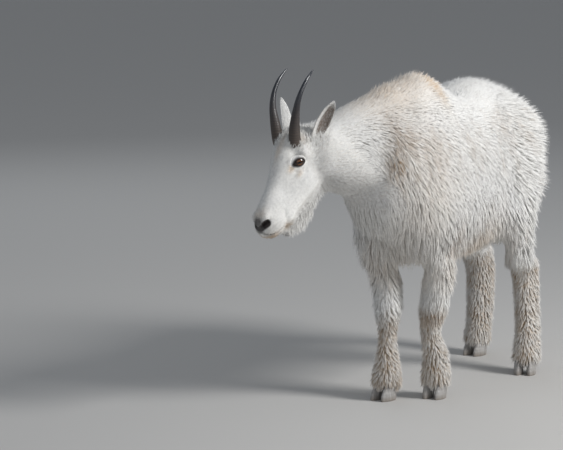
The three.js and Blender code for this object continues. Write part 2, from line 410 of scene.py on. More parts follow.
# The coat's colours, which skin and tufts share
coatColours = {
    "white": colour("f1f0ed"),
    "under": colour("e2dcd4"),  # near the skin: the underfur's warmer tone, and painted shade between the tufts
    "cool": colour("dfe1e6"),
    "tan": colour("d0b594"),
    "streak": colour("a58a6c"),
    "soil": colour("b89c79"),
    "dark": colour("332d2b"),  # bare skin of the nose and lids, and painted shade along the mouth
    "hollow": colour("67503f"),  # inside the ears: their own tone, and painted shade in the cup
}
patternSizes = {"patches": 9, "fine": 70, "fluff": 150}  # the coat's three noises: lumps in a metre


def coatPaint(wire, along):
    # the coat's colour from the piece's markings: the under colour near the skin, which is the underfur's
    # tone and painted shade between the tufts, up to white; then tan, streaks and soil, each by its own
    # strength and a noise;
    # then a light fluff over all of it, brown inside the ears, which is their own tone and painted shade in
    # the hollow, and dark bare skin, with painted shade along the mouth
    place = wire.place()
    patches = place.noise(patternSizes["patches"], 2)
    fine = place.noise(patternSizes["fine"], 2)
    tint = wire.value("tint")
    # from the under colour at the root to white at the tip: the underfur's tone and painted shade near the
    # skin
    paint = wire.blend(along.clipped(), coatColours["under"], coatColours["white"])
    paint = wire.blend((patches - 0.35) * 0.8 * tint, paint, coatColours["cool"])
    strengths = {
        "tan": 0.35 + fine + tint * 0.5,
        "streak": fine * 1.2 + tint - 0.4,
        "soil": (0.5 + fine + tint * 0.5) * (1.5 - along * 0.9),
    }
    for name, strength in strengths.items():
        paint = wire.blend((wire.value(name) * strength).clipped(), paint, coatColours[name])
    paint = paint.shaded(place.noise(patternSizes["fluff"], 3) * 0.5 + 0.74)
    # brown in the ears: their inner tone, and painted shade in the hollow
    paint = wire.blend((wire.value("hollow") * (0.6 + tint * 0.5)).clipped(), paint, coatColours["hollow"])
    return wire.blend(wire.value("bare").clipped(), paint, coatColours["dark"])


def makeTuftMaterial():
    # fine strands run along each tuft: noise on its own two coordinates, drawn out along it
    material, wire, plug = newMaterial("tufts", 0.85, 0.25)
    along, across = wire.value("along"), wire.value("across")
    strands = wire.node("ShaderNodeCombineXYZ", X=across * 2.5, Y=along * 1.2, Z=wire.value("tint") * 40)
    lines = strands.noise(2.2, 2, 0.6)
    # the roots take the under colour: painted shade between the tufts, with the underfur's tone
    plug(Base_Color=coatPaint(wire, along * 1.4 + 0.25).shaded(0.86 + lines * 0.24))
    plug(Normal=lines.bump(0.35, 0.0006))
    return material


def makeSkinMaterial():
    # short flat hair: noise drawn out along the head, with pebbles on the bare nose
    material, wire, plug = newMaterial("skin", 0.8, 0.3)
    level = wire.place().mapped(Rotation=(0, 0, np.radians(-head["turn"])))
    level = level.mapped(Rotation=(0, np.radians(-head["dip"]), 0))
    lines = level.mapped(Scale=(120, 520, 520)).noise(1, 3, 0.6)
    pebbles = wire.node("ShaderNodeTexVoronoi", Vector=wire.place(), Scale=620)
    bare = wire.value("bare").clipped()
    plug(Base_Color=coatPaint(wire, wire.value("along")).shaded(0.84 + lines * 0.3))
    plug(Roughness=0.85 - bare * 0.4)
    plug(Normal=(lines * (1 - bare) + pebbles * bare * 0.6).bump(0.5, 0.0012))
    return material


# The skin: the flesh nodes joined, remeshed as one, smoothed and drawn in by the coat's depth
skinSize = {
    "voxel": 0.0074,
    "overlap": 0.0015,  # how far each node is swelled, so that the joints close
    "smooth": 18,
    "headBox": ((-60, -75, -215), (260, 75, 30)),  # made twice as fine, head frame, mm
    "faceBox": ((10, -66, -165), (258, 66, 0)),  # and here again
    "lastSmooth": 4,
    "lastShares": (0.5, 0.2),  # of the head, and of the rest
    "even": 12,  # rounds that even out the normals and the depth, so that the drawn-in skin has no folds
    "shrunk": 0.0015,  # what the smoothing has drawn in already
    "soft": 8,  # rounds on the normals that the hair is laid by
}
fleshNodes = [n for n in sorted(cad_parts) if not n.startswith(("horn", "ear", "eye", "hoof"))]


def joinedFlesh():
    # every flesh node, its doubles merged and swelled a little along its normals, in one mesh of closed parts
    points, faces, start = [], [], 0
    for name in fleshNodes:
        loose, triangles = meshArrays(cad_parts[name].data)
        places, same = np.unique(np.round(loose, 6), axis=0, return_inverse=True)
        triangles = same.reshape(-1)[triangles]
        points.append(places + pointNormals(places, triangles) * skinSize["overlap"])
        faces.append(triangles + start)
        start += len(places)
    return newPiece("flesh", np.concatenate(points), [np.concatenate(faces)])


def within(local, box):
    # which places are inside a box
    return ((local > np.array(box[0])) & (local < np.array(box[1]))).all(1)


def cutFiner(bm, box):
    # the faces whose middle is in a box of the head's frame are cut in four
    inside = within(toHead(np.array([f.calc_center_median() for f in bm.faces])), box)
    bm.faces.ensure_lookup_table()
    edges = {edge for k in np.flatnonzero(inside) for edge in bm.faces[int(k)].edges}
    bmesh.ops.subdivide_edges(bm, edges=list(edges), cuts=1, use_grid_fill=True)


def skinBlank():
    # voxels close the joints, and the smoothing rounds the facets away
    flesh = joinedFlesh()
    remesh = flesh.modifiers.new("one skin", "REMESH")
    remesh.mode = "VOXEL"
    remesh.voxel_size = skinSize["voxel"]
    smooth = flesh.modifiers.new("smooth", "SMOOTH")
    smooth.iterations = skinSize["smooth"]
    bm = bmesh.new()
    grown = flesh.evaluated_get(bpy.context.evaluated_depsgraph_get())
    bm.from_mesh(grown.to_mesh())
    cutFiner(bm, skinSize["headBox"])
    cutFiner(bm, skinSize["faceBox"])
    bmesh.ops.triangulate(bm, faces=bm.faces[:])
    mesh = bpy.data.meshes.new("blank")
    bm.to_mesh(mesh)
    bm.free()
    arrays = meshArrays(mesh)
    bpy.data.meshes.remove(mesh)
    bpy.data.objects.remove(flesh)
    return arrays


# What grows where. Heights and places are in the row's frame in metres, or in the head's in mm.
legs = ["front_left", "front_right", "hind_left", "hind_right"]
legHeights = {  # of a front leg and of a hind one
    "knee": (0.27, 0.33),
    "top": (0.44, 0.56),
    "soil": (0.235, 0.33),
    "coat": (0.43, 0.54),  # up to where a leg's own piece of coat goes
}
hairFrom = 0.03  # no hair grows lower
hornFoot = np.array((-4, 31, -14))
frontFrom = -0.1  # the legs before this X are the front ones


def legHeight(points, name):
    return np.where(points[:, 0] > frontFrom, *legHeights[name])


def legLine(leg):
    # the leg's middle line, from its foot up, as rows of z, x, y
    parts = ["shank", "forearm"] if leg.startswith("front") else ["shank", "gaskin", "thigh"]
    rows = [(middleOf(f"hoof_{leg}_outer") + middleOf(f"hoof_{leg}_inner")) / 2]
    rows += [middleOf(f"{part}_{leg}") for part in parts]
    return np.array([(z, x, y) for x, y, z in rows])


legLines = {leg: legLine(leg) for leg in legs}


def legPlaces(points):
    # for each point, its nearest leg's number and how far it is from that leg's middle line
    away = []
    for leg in legs:
        z, x, y = legLines[leg].T
        gap = points[:, :2] - np.stack([np.interp(points[:, 2], z, x), np.interp(points[:, 2], z, y)], 1)
        away.append(np.linalg.norm(gap, axis=1))
    return np.argmin(away, 0), np.min(away, 0)


neckFrom = np.array((0.20, 0.005, 0.70))  # the neck's line, from the chest to behind the ears
neckTo = np.array((0.455, -0.115, 0.71))
padPath = [(226, 0, -77), (238, 0, -88), (242, 0, -97)]  # down the middle of the nose


def toPath(local, path):
    # how far each place is from a line through a few others, on the same side of the head
    path = np.array(path, float)
    local = folded(local)
    gaps = []
    for start, end in zip(path[:-1], path[1:]):
        run = end - start
        t = np.clip((local - start) @ run / (run @ run), 0, 1)
        gaps.append(np.linalg.norm(local - start - t[:, None] * run, axis=1))
    return np.min(gaps, 0)


def padShare(local):
    # 1 on the middle of the nose pad, fading out round it
    return ramp(toPath(local, padPath), 19, 7)


def zones(points, normals):
    # how far each point belongs to each zone of the coat, from 0 to 1: ramps on its place and on how its
    # normal leans. Each zone later takes over from the ones before it.
    local = toHead(points)
    a, l, n = local.T
    side = np.abs(l)
    z, up = points[:, 2], normals[:, 2]
    onHead = ramp(a, -105, -60) * ramp(n, -300, -250)
    upNeck = (points - neckFrom) @ (neckTo - neckFrom) / ((neckTo - neckFrom) ** 2).sum()
    top, knee = legHeight(points, "top"), legHeight(points, "knee")
    onLeg = ramp(z, top, top - 0.1) * (1 - onHead)
    under = ramp(up, -0.1, -0.6) * (1 - onLeg)  # belly and throat
    horn = np.linalg.norm(np.stack([a + 6, side - 31, (n + 12) * 0.6], 1), axis=1)
    return local, {
        "hung": np.clip(ramp(z, 0.58, 0.46) * ramp(up, 0.85, 0.2) + under, 0, 1),  # flanks and belly
        "rear": ramp(points[:, 0], -0.14, -0.40) * (1 - onLeg),
        "neck": ramp(upNeck, 0.1, 0.6) * (1 - onHead) * ramp(z, 0.5, 0.58),
        "crest": ramp(up, 0.55, 0.9) * ramp(points[:, 0], -0.12, 0.05) * (1 - onHead),  # nape and hump
        "leg": onLeg,
        "skirt": onLeg * ramp(z, 0.30, 0.38),  # the long hair over the knees and hocks
        "shank": onLeg * ramp(z, knee + 0.03, knee - 0.03),
        "hoof": onLeg * ramp(z, 0.09, 0.055),
        "head": onHead,
        "cheek": onHead * ramp(a, 110, 40) * ramp(n, -40, -90),
        "face": onHead * ramp(a, -10, 50),
        "muzzle": onHead * ramp(a, 150, 190),
        "crown": onHead * ramp(n, -80, -45) * ramp(a, 4, -22),
        "beard": onHead * ramp(n, -128, -160) * ramp(a, -10, 30) * ramp(a, 200, 165),
        "collar": onHead * ramp(horn, 34, 21),  # round the foot of a horn
        "pad": onHead * padShare(local),
    }


# The coat: each size on the trunk, and then in the zones that have another, blended in this order
coatSizes = {
    "depth": dict(trunk=18, hung=28, rear=30, neck=16, leg=14, skirt=20, shank=10, hoof=8, head=8, cheek=7,
                  face=3.2, muzzle=5, crown=9, beard=14, collar=4),
    "length": dict(trunk=34, hung=70, rear=52, crest=38, neck=32, leg=38, skirt=62, shank=30, hoof=34,
                   head=18, cheek=17, face=9, muzzle=10, crown=26, beard=36, collar=20, pad=5),
    "width": dict(trunk=2.5, hung=2.9, rear=2.3, neck=2.3, leg=2.7, skirt=2.8, shank=2.5, hoof=2.6, head=2,
                  cheek=2, face=1.2, muzzle=1.25, crown=1.7, beard=1.9, collar=1.6, pad=1),
    # the share of its length that leaves the skin
    "free": dict(trunk=0.3, hung=0.9, rear=1.0, crest=0.8, neck=0.3, leg=0.55, skirt=0.85, shank=0.75,
                 hoof=1, head=0.3, cheek=0.55, face=0.25, muzzle=0.55, crown=1, beard=0.85, collar=1,
                 pad=0.1),
    # how steeply it then rises, and how many depths high it may come
    "lift": dict(trunk=0.3, hung=0.32, rear=1.05, crest=0.9, neck=0.25, leg=0.4, skirt=0.4, shank=0.95,
                 hoof=0.5, head=0.35, cheek=0.55, face=0.45, muzzle=0.8, crown=1.3, beard=0.3, collar=0.9,
                 pad=0.2),
    "stand": dict(trunk=1.0, rear=1.7, hung=1.5, crest=1.5, crown=2.6, collar=4, shank=1.6, skirt=1.6,
                  hoof=2, muzzle=1.3, cheek=1.3, face=1.2),
    # how far the tips of a lock lean together, and how wide a lock is
    "clump": dict(trunk=0.32, hung=0.9, rear=0.7, crest=0.5, neck=0.3, leg=0.6, skirt=0.8, shank=0.85,
                  hoof=0.7, head=0.3, cheek=0.6, face=0.4, muzzle=0.4, crown=0.6, beard=0.6, collar=0.4),
    "lock": dict(trunk=9, hung=20, rear=11, neck=8, leg=10, skirt=14, shank=8, hoof=8, head=7, cheek=7,
                 face=5, muzzle=5, crown=7, beard=9, collar=6),
    # thousands of tufts a square metre
    "number": dict(trunk=72, hung=54, rear=70, neck=78, leg=70, skirt=60, shank=98, hoof=100, head=115,
                   cheek=125, face=340, muzzle=340, crown=170, beard=115, collar=170),
}
coatLengths = ("depth", "length", "width", "lock")  # the sizes above that are in mm


def coatAt(points, normals):
    # the coat's sizes, in metres, and its lie at any place
    local, shares = zones(points, normals)
    coat = {}
    for size, values in coatSizes.items():
        value = np.full(len(points), float(values["trunk"]))
        for zone, amount in values.items():
            if zone != "trunk":
                value = mix(value, amount, shares[zone])
        coat[size] = value / 1000 if size in coatLengths else value
    coat["number"] = coat["number"] * 1000
    coat["comb"] = combed(points, normals, local, shares)
    return coat


def combed(points, normals, local, shares):
    # the way that the hair lies: back and down on the trunk, along the neck, down the legs, back over the
    # face; then a slow swirl, and away from the eyes
    count = len(points)

    def way(x, y, z):
        return np.tile((x, y, z), (count, 1)).astype(float)

    def headWay(a, l, n):
        # sideways is out from the middle
        return np.stack([np.full(count, a), l * np.sign(local[:, 1]), np.full(count, n)], 1) @ headAxes.T

    flank = ramp(normals[:, 2], 0.85, 0.1)[:, None]
    lie = mix(way(-1, 0, -0.1), way(-0.55, 0, -0.9), flank)
    front = ramp(normals[:, 0], 0.35, 0.8)[:, None]
    lie = mix(lie, way(0.1, 0, -1), front)
    steps = {
        "hung": way(-0.05, 0, -1), "rear": way(-0.6, 0, -0.72),
        "neck": unit(neckFrom - neckTo) + way(0, 0, -0.75) * flank,
        "leg": way(-0.12, 0, -1), "hoof": way(0, 0, -1),
        "head": headWay(-1, 0.25, -0.25), "cheek": headWay(-0.8, 0.1, -0.6), "face": headWay(-1, 0.15, 0),
        "muzzle": headWay(-0.9, 0.5, -0.1), "crown": headWay(-0.55, 0.1, 0.75),
        "beard": way(-0.35, 0, -1), "collar": headWay(-0.5, 0.2, 0.9),
    }
    for zone, step in steps.items():
        lie = mix(lie, step, shares[zone][:, None])
    swirl = np.stack([ripple(points, 0.11, seed) for seed in (3, 5, 7)], 1)
    away = awayFromEye(points) * ramp(aroundEye(points), 2.4, 1.2)[:, None]
    return unit(unit(lie) + swirl * 0.22 + away * 1.6)


# Markings: soft spots of tan, streaks and soil. At is in metres, and so are the sizes.
tanSpots = [
    {"at": (0.30, 0.0, 0.86), "size": (0.12, 0.12, 0.06), "strength": 0.4},  # top of the neck
    {"at": (0.16, 0.02, 0.90), "size": (0.10, 0.12, 0.05), "strength": 0.3},  # withers
    {"at": (0.11, 0.08, 0.86), "size": (0.03, 0.05, 0.05), "strength": 0.6},  # behind the hump
    {"at": (0.30, 0.0, 0.40), "size": (0.10, 0.10, 0.06), "strength": 0.4},  # breast
    # the belly spot is partly tan and partly painted shade on the underside
    {"at": (0.0, 0.05, 0.37), "size": (0.20, 0.12, 0.05), "strength": 0.35},  # belly
    {"at": (-0.10, 0.16, 0.43), "size": (0.12, 0.10, 0.06), "strength": 0.45},  # its side, behind the elbow
    {"at": (0.24, 0.10, 0.62), "size": (0.10, 0.10, 0.16), "strength": 0.2},  # shoulder
]
streakSpots = [
    {"at": (0.315, 0.085, 0.76), "size": (0.03, 0.06, 0.045), "strength": 0.7},  # shoulder, high
    {"at": (0.335, 0.09, 0.68), "size": (0.022, 0.06, 0.05), "strength": 0.75},  # and lower
    {"at": (0.10, 0.17, 0.46), "size": (0.04, 0.08, 0.05), "strength": 0.5},  # elbow
    {"at": (0.16, 0.115, 0.24), "size": (0.06, 0.06, 0.022), "strength": 0.8},  # under the left knee
    {"at": (0.23, 0.0, 0.20), "size": (0.06, 0.06, 0.03), "strength": 0.7},  # and the right one
    {"at": (0.215, 0.04, 0.06), "size": (0.06, 0.16, 0.02), "strength": 0.5},  # pasterns
]
# Stains of the face, in the head's frame in mm, the same on both sides
faceSpots = [
    {"at": (228, 10, -132), "size": (16, 26, 11), "strength": 0.8},  # chin
    {"at": (182, 26, -142), "size": (12, 16, 12), "strength": 0.5},  # corner of the mouth
    {"at": (30, 0, -8), "size": (46, 9, 20), "strength": 0.3},  # forehead
    {"at": (62, 38, -46), "size": (13, 9, 8), "strength": 0.55},  # inner corner of the eye
    {"at": (58, 48, -70), "size": (12, 9, 7), "strength": 0.35},  # under the eye
    {"at": (-16, 38, -24), "size": (13, 13, 13), "strength": 0.25},  # foot of the horn
    {"at": (215, 0, -66), "size": (22, 16, 12), "strength": 0.3},  # top of the nose
]


def markings(points):
    # each marking's strength at the points: the spots, faint streaks that ripple down the flanks, and soil
    # that climbs the legs from the ground to a wavy edge
    z = points[:, 2]
    local = toHead(points)
    tan = spotSum(points, tanSpots) + spotSum(folded(local), faceSpots)
    edge = legHeight(points, "soil") + 0.03 * ripple(points, 0.06, 11)
    soil = ramp(z, edge + 0.04, edge - 0.04) * (0.5 + 0.25 * ripple(points, 0.04, 13))
    trunk = ramp(z, 0.36, 0.46) * ramp(z, 0.84, 0.72) * ramp(local[:, 0], -60, -100)
    upright = points * (1, 1, 0.3)
    mottle = 0.6 * ripple(upright, 0.026, 41) + 0.6 * ripple(upright, 0.07, 43)
    faint = 0.3 + 0.3 * ramp(z, 0.52, 0.42)
    streak = spotSum(points, streakSpots) + faint * trunk * ramp(mottle, 0.15, 0.9)
    return {"tan": tan, "streak": streak, "soil": soil}


# Eyes: a ball that is longer than high, and a ring of lids round it. Mm, in the eye's own frame.
eyes = {
    "at": (34.5, 41.5, -50),  # the ball's middle, head frame, for the left one
    "half": (19, 14, 12.5),  # along the slit, across it and outwards
    "slit": (17, 9.5, 8),  # half the opening: length, above and below
    "iris": 10.5,
    "pupil": (7.5, 3.2),
    "flange": (1.5, 1.15),  # the lids' rim on the skin to the slit, and its height to its length besides
    "fold": (1.8, 0.8),  # how far the upper and lower lid swell
    "crease": 1.2,  # how deep the line along the upper lid is
    "tear": 2,  # how far the inner corner dips
    "lidDepth": 3.5,  # from the top of a lid's skin to its underside
    "grid": (30, 48),  # of the ball
    "lidGrid": (72, 10),
}
slant = {"long": unit(np.array((-0.78, 0.37, -0.5)))}
slant["out"] = unit(np.cross(slant["long"], (-0.6, 0.0, 0.8)))
slant["high"] = np.cross(slant["out"], slant["long"])
eyeAxes = np.stack([slant["long"], slant["high"], slant["out"]], 1)


def fromEye(points, side):
    # places in the left eye's frame, mm, to the row's frame, for either eye
    return fromHead((np.array(eyes["at"]) + points @ eyeAxes.T) * (1, side, 1))


def aroundEye(points):
    # 1 at the edge of the slit, growing outwards, for either eye
    local = folded(toHead(points))
    across = (local - np.array(eyes["at"])) @ eyeAxes[:, :2] / eyes["slit"][:2]
    return np.linalg.norm(across, axis=1) + 9 * (local[:, 1] < 20)


def awayFromEye(points):
    # the way from the nearer eye's middle, along the face, in the row's frame
    local = toHead(points)
    side = mirrored(local)
    off = local * side - np.array(eyes["at"])
    off = off - (off @ eyeAxes[:, 2])[:, None] * eyeAxes[:, 2]
    return (unit(off) * side) @ headAxes.T


# The head's forms, in its own frame in mm. A push moves the points round a place, on both sides alike.
pushes = [
    {"at": (13, 45, -40), "size": (15, 12, 10), "move": (-2, 12, 7)},  # brow over the eye
    {"at": (2, 48, -56), "size": (14, 14, 12), "move": (-2, 5, 1)},  # its outer end
    {"at": (54, 44, -70), "size": (15, 12, 7), "move": (0, 5.5, 0)},  # fold under the eye
    {"at": (50, 50, -98), "size": (34, 16, 16), "move": (0, 4, 0)},  # cheek bone
    {"at": (118, 34, -74), "size": (30, 16, 22), "move": (0, -4, 0)},  # hollow before it
    {"at": (45, 50, -135), "size": (36, 18, 26), "move": (0, 4, 0)},  # jaw muscle
    {"at": (194, 34, -104), "size": (26, 16, 22), "move": (0, 6, 1)},  # lip pad
    {"at": (212, 26, -74), "size": (15, 12, 8), "move": (2, 4, 4)},  # wing over the nostril
    {"at": (206, 0, -66), "size": (20, 10, 12), "move": (0, 0, -3)},  # dip between the wings
    {"at": (160, 34, -142), "size": (22, 22, 20), "move": (0, 6, -2)},  # whiskers of the jaw
    {"at": (14, 0, -8), "size": (30, 40, 14), "move": (-2, 0, 7)},  # forehead
    {"at": (-8, 30, -20), "size": (18, 16, 14), "move": (0, 2, 6)},  # foot of the horn
]
# A groove is carved along a path, to a depth, with a half width
grooves = {
    "nostril": {"path": [(215, 27.5, -84), (219.5, 24, -84), (228, 17, -86), (234, 9, -90)],
                "deep": 9, "wide": 4.6},
    "mouth": {"path": [(244, 0, -104.5), (237.5, 14, -113), (229.6, 24.4, -122), (217, 31, -128),
                       (201, 35, -130), (186, 38, -127)], "deep": 3.6, "wide": 2.1},
    "lip split": {"path": [(244, 0, -90), (245, 0, -103)], "deep": 2.5, "wide": 1.8},
    "cheek crease": {"path": [(162, 39, -106), (173, 40, -120), (182, 35, -136), (189, 22, -148)],
                     "deep": 3.6, "wide": 7},
    "under eye": {"path": [(60, 44, -60), (51, 48, -70), (38, 52, -79)], "deep": 2.4, "wide": 3},
    "over eye": {"path": [(28, 33, -35), (21, 42, -41), (17, 50, -48)], "deep": 2.4, "wide": 3},
    "tear line": {"path": [(54, 38, -44), (66, 36, -46)], "deep": 2.2, "wide": 3.2},
}
# Bare dark skin along a path, and along the lips also painted shade in the mouth's crease: how dark it is,
# and how far off it starts and is full
bareLines = {
    "wing": {"path": [(219, 25, -86), (225, 19.5, -87)], "dark": 1, "fade": (13.5, 9)},
    "slot": {"path": [(226, 17.5, -89), (238, 4, -93)], "dark": 0.94, "fade": (12, 7)},
    "pad": {"path": padPath, "dark": 0.8, "fade": (19, 7)},
    # the lips: grey lip skin, and painted shade in the crease of the mouth
    "lips": {"path": grooves["mouth"]["path"], "dark": 0.85, "fade": (4.6, 1.6), "from": (182, 210)},
}


def pushedHead(points):
    # every push moves the points near its place, with exp(-r²) as their share of the move
    local = toHead(points)
    side = mirrored(local)
    left = local * side
    for push in pushes:
        local = local + spot(left, push["at"], push["size"])[:, None] * np.array(push["move"]) * side
    return fromHead(local)


def groovedHead(points, normals):
    # every groove draws the points near its path inwards along their normals
    local = toHead(points)
    deep = sum(g["deep"] * np.exp(-((toPath(local, g["path"]) / g["wide"]) ** 2)) for g in grooves.values())
    return points - normals * deep[:, None] / 1000


def bareSkin(points):
    # how dark and bare the skin is: the most that any of the bare lines makes it
    local = toHead(points)
    darks = []
    for bare in bareLines.values():
        dark = bare["dark"] * ramp(toPath(local, bare["path"]), *bare["fade"])
        darks.append(dark * ramp(local[:, 0], *bare["from"]) if "from" in bare else dark)
    return np.maximum.reduce(darks)


def keptHair(points):
    # 1 where tufts grow, 0 in the eyes, at the foot of the horns and inside the hooves
    horn = np.linalg.norm((folded(toHead(points)) - hornFoot) / (1, 1, 2), axis=1)
    return ramp(aroundEye(points), 1.2, 1.35) * ramp(horn, 9, 13) * (points[:, 2] > hairFrom)


def makeSkin():
    # the blank smoothed, drawn in by the coat's depth along evened normals, and then its head formed
    points, faces = skinBlank()
    edges = edgesOf(faces)
    onHead = within(toHead(points), skinSize["headBox"])
    points = relaxed(points, edges, skinSize["lastSmooth"], np.where(onHead, *skinSize["lastShares"]))
    normals = relaxed(pointNormals(points, faces), edges, skinSize["even"])
    depth = relaxed(coatAt(points, unit(normals))["depth"], edges, skinSize["even"])
    points = points - unit(normals) * (depth - skinSize["shrunk"])[:, None]
    plain = pushedHead(points)
    bare = bareSkin(plain)
    points = groovedHead(plain, pointNormals(plain, faces))
    soft = unit(relaxed(pointNormals(points, faces), edges, skinSize["soft"]))
    piece = newPiece("skin", points, [faces], skinMaterial)
    local = toHead(points)
    # along is 1 on the face and 0.6 elsewhere, which mixes in the under colour: underfur tone and painted
    # shade on the skin between the tufts
    setValues(piece, softNormal=soft, tint=0.5 + 0.5 * ripple(points, 0.05, 17), bare=bare,
              along=0.6 + 0.4 * ramp(local[:, 0], -20, 60) * ramp(local[:, 2], -300, -250),
              keep=keptHair(plain) * (1 - ramp(bare, 0.81, 0.88)), **markings(points))
    return piece


skinMaterial = makeSkinMaterial()
tuftMaterial = makeTuftMaterial()
skin = settled(makeSkin(), "coat", *fleshNodes)
print("skin made,", len(skin.data.polygons), "triangles")


# Horns: rings crowd the base and fade towards the tip. Head frame, mm, for the left one.
horns = {
    "path": [(2, 30, -24), (-4, 31, -12), (-21, 33, 12), (-39, 36, 34), (-58, 40, 54), (-80, 43.5, 69.5),
             (-106, 46, 80), (-140, 48, 85), (-176, 48.5, 82)],
    "radius": [15, 15.5, 14.3, 11.8, 9.2, 7.2, 5.7, 4.4, 1.6],
    "out": [0, 0, 0.3, 0.7, 1, 1, 1, 0.6, 0],
    "splay": {"left": 6, "right": 1},  # how far each stands out more
    "depth": 1.12,  # a horn's depth to its width
    "rings": 34,
    "ringed": 0.55,  # the share of its length that has rings
    "ringHeight": 0.035,
    "wander": ((0.35, 41), (0.25, 97)),  # two waves that make the rings uneven
    "grid": (220, 26),
}


def makeHornMaterial():
    # black with a painted bluish sheen towards the tip, dusty brown between the rings of the base, with fine
    # lines that run along it
    material, wire, plug = newMaterial("horn", 0.35, 0.5, 0.3)
    along = wire.value("along")
    sideways, upward = wire.value("sideways") * 9, wire.value("upward") * 9
    lines = wire.node("ShaderNodeCombineXYZ", X=sideways, Y=upward, Z=along * 6).noise(1.6, 3)
    dust = ((1.15 - along * 1.7) * (lines * 0.8 + 0.45) * (1.05 - wire.value("ridge") * 0.45)).clipped()
    # black at the base to bluish grey at the tip: a painted sheen
    paint = wire.blend(along.clipped(), colour("1b1718"), colour("282c36"))
    plug(Base_Color=wire.blend(dust, paint, colour("5c4f45")))
    plug(Roughness=0.3 + dust * 0.45)
    plug(Normal=lines.bump(0.4, 0.0008))
    return material


def makeHorn(name, material):
    # a circle carried along the path; its radius dips between the rings, which a cosine of the place makes
    path = np.array(horns["path"], float)
    path[:, 1] = sides[name] * (path[:, 1] + horns["splay"][name] * np.array(horns["out"]))
    rows, columns = horns["grid"]
    along, angle = np.linspace(0, 1, rows), around(columns)
    fade = np.clip(1 - along / horns["ringed"], 0, 1) ** 0.7
    wander = sum(high * np.sin(along * speed) for high, speed in horns["wander"])
    ridge = (0.5 + 0.5 * np.cos(2 * np.pi * horns["rings"] * along**0.8 + wander * 2)) ** 0.6
    radius = through(np.array(horns["radius"])[:, None], along) / 1000
    radius = radius * (1 - horns["ringHeight"] * fade * (1 - ridge))[:, None]
    across, high = radius * np.cos(angle), radius * np.sin(angle) * horns["depth"]
    points, faces = closedRings(carried(fromHead(path), headAxes[:, 2], rows, across, high))
    piece = newPiece(f"horn{name.title()}", points, faces, material)
    setValues(piece, along=ringValues(along, columns), ridge=ringValues(ridge, columns),
              sideways=np.append(np.tile(np.cos(angle), rows), [0, 0]),
              upward=np.append(np.tile(np.sin(angle), rows), [0, 0]))
    settled(piece, "horn", f"horn_{name}")


# Ears: a cupped leaf, dark inside with its own tone and painted shade. Head frame, mm, for the left one.
ears = {
    "path": [(-26, 44, -82), (-38, 50, -64), (-63, 50, -44), (-94, 61, -26), (-119, 79, -10), (-136, 98, 4)],
    "wide": [11, 13, 19, 22, 17, 6],
    "thick": [7, 6, 3.5, 2.6, 2, 1.5],
    "cup": [1, 3, 10, 12, 8, 2],
    "hollow": (0.55, 0.75, -0.1),  # the way that the hollow faces
    "tip": 0.12,  # the share of its length that closes its tip
    "grid": (40, 36),
}


def makeEar(name):
    # an oval carried along the path and bent up at its sides by the square of the place across; its sizes
    # end in a quarter circle at the tip
    side = np.array((1, sides[name], 1))
    rows, columns = ears["grid"]
    along, angle = np.linspace(0, 1, rows), around(columns)
    path = fromHead(np.array(ears["path"]) * side)
    size = through(np.stack([ears["wide"], ears["thick"], ears["cup"]], 1), along) / 1000
    toTip = (1 - along + 0.004) / ears["tip"]
    wide, thick, cup = (size * np.sqrt(np.clip(1 - (1 - toTip).clip(0) ** 2, 0, 1))[:, None]).T[:, :, None]
    across = rounded(np.cos(angle), 0.85)
    high = thick * np.sin(angle) + cup * across**2
    way = headAxes @ (np.array(ears["hollow"]) * side)
    points, faces = closedRings(carried(path, way, rows, wide * across, high))
    piece = newPiece(f"ear{name.title()}", points, faces, skinMaterial)
    # hollow: the ear's inner tone and painted shade, over the cupped face, fading near the tip
    front = np.cos(angle) * sides[name]
    inside = ramp(np.sin(angle), 0, 0.3) * ramp(front, 0.45, 0.1) * ramp(-front, 0.98, 0.85)
    hollow = np.append((ramp(along, 0.95, 0.8)[:, None] * inside).ravel(), [0, 0])
    soft = pointNormals(*meshArrays(piece.data))
    count = len(points)
    # an along of 0.8 mixes in some of the under colour: underfur tone and painted shade
    setValues(piece, softNormal=soft, hollow=hollow, tint=np.full(count, 0.5), along=np.full(count, 0.8))
    return settled(piece, "coat", f"ear_{name}"), path, hollow


def makeEyeMaterial():
    # an amber-brown iris with a darker rim and a level, dark pupil: ovals in x and y along the slit
    material, wire, plug = newMaterial("eye", 0.08, 0.4, 0.3)
    x, y = wire.value("slitX"), wire.value("slitY")
    iris = ((x * x + y * y) ** 0.5) / eyes["iris"]
    wide, high = eyes["pupil"]
    pupil = (x * x) / wide**2 + (y * y) / high**2
    lines = wire.place().noise(900, 2)
    paint = wire.blend((iris * 1.6 - 0.6 + lines * 0.2).clipped(), colour("75471f"), colour("20130c"))
    paint = wire.blend(((iris - 1) * 8).clipped(), paint, colour("2a211d"))
    plug(Base_Color=wire.blend(((1.1 - pupil) * 5).clipped(), paint, colour("050507")))
    return material


def makeEye(name, material):
    # an ellipsoid, from one angle down from its outer pole and one round it
    rows, columns = eyes["grid"]
    down = np.linspace(0, np.pi, rows + 2)[1:-1, None]
    turn = around(columns)[None]
    ball = np.stack([np.sin(down) * np.cos(turn), np.sin(down) * np.sin(turn), np.cos(down) + 0 * turn], -1)
    local, faces = closedRings(ball * eyes["half"])
    faces = [f[:, ::-sides[name]] for f in faces]
    piece = newPiece(f"eye{name.title()}", fromEye(local, sides[name]), faces, material)
    setValues(piece, slitX=local[:, 0], slitY=local[:, 1])
    settled(piece, "eye", f"eye_{name}")


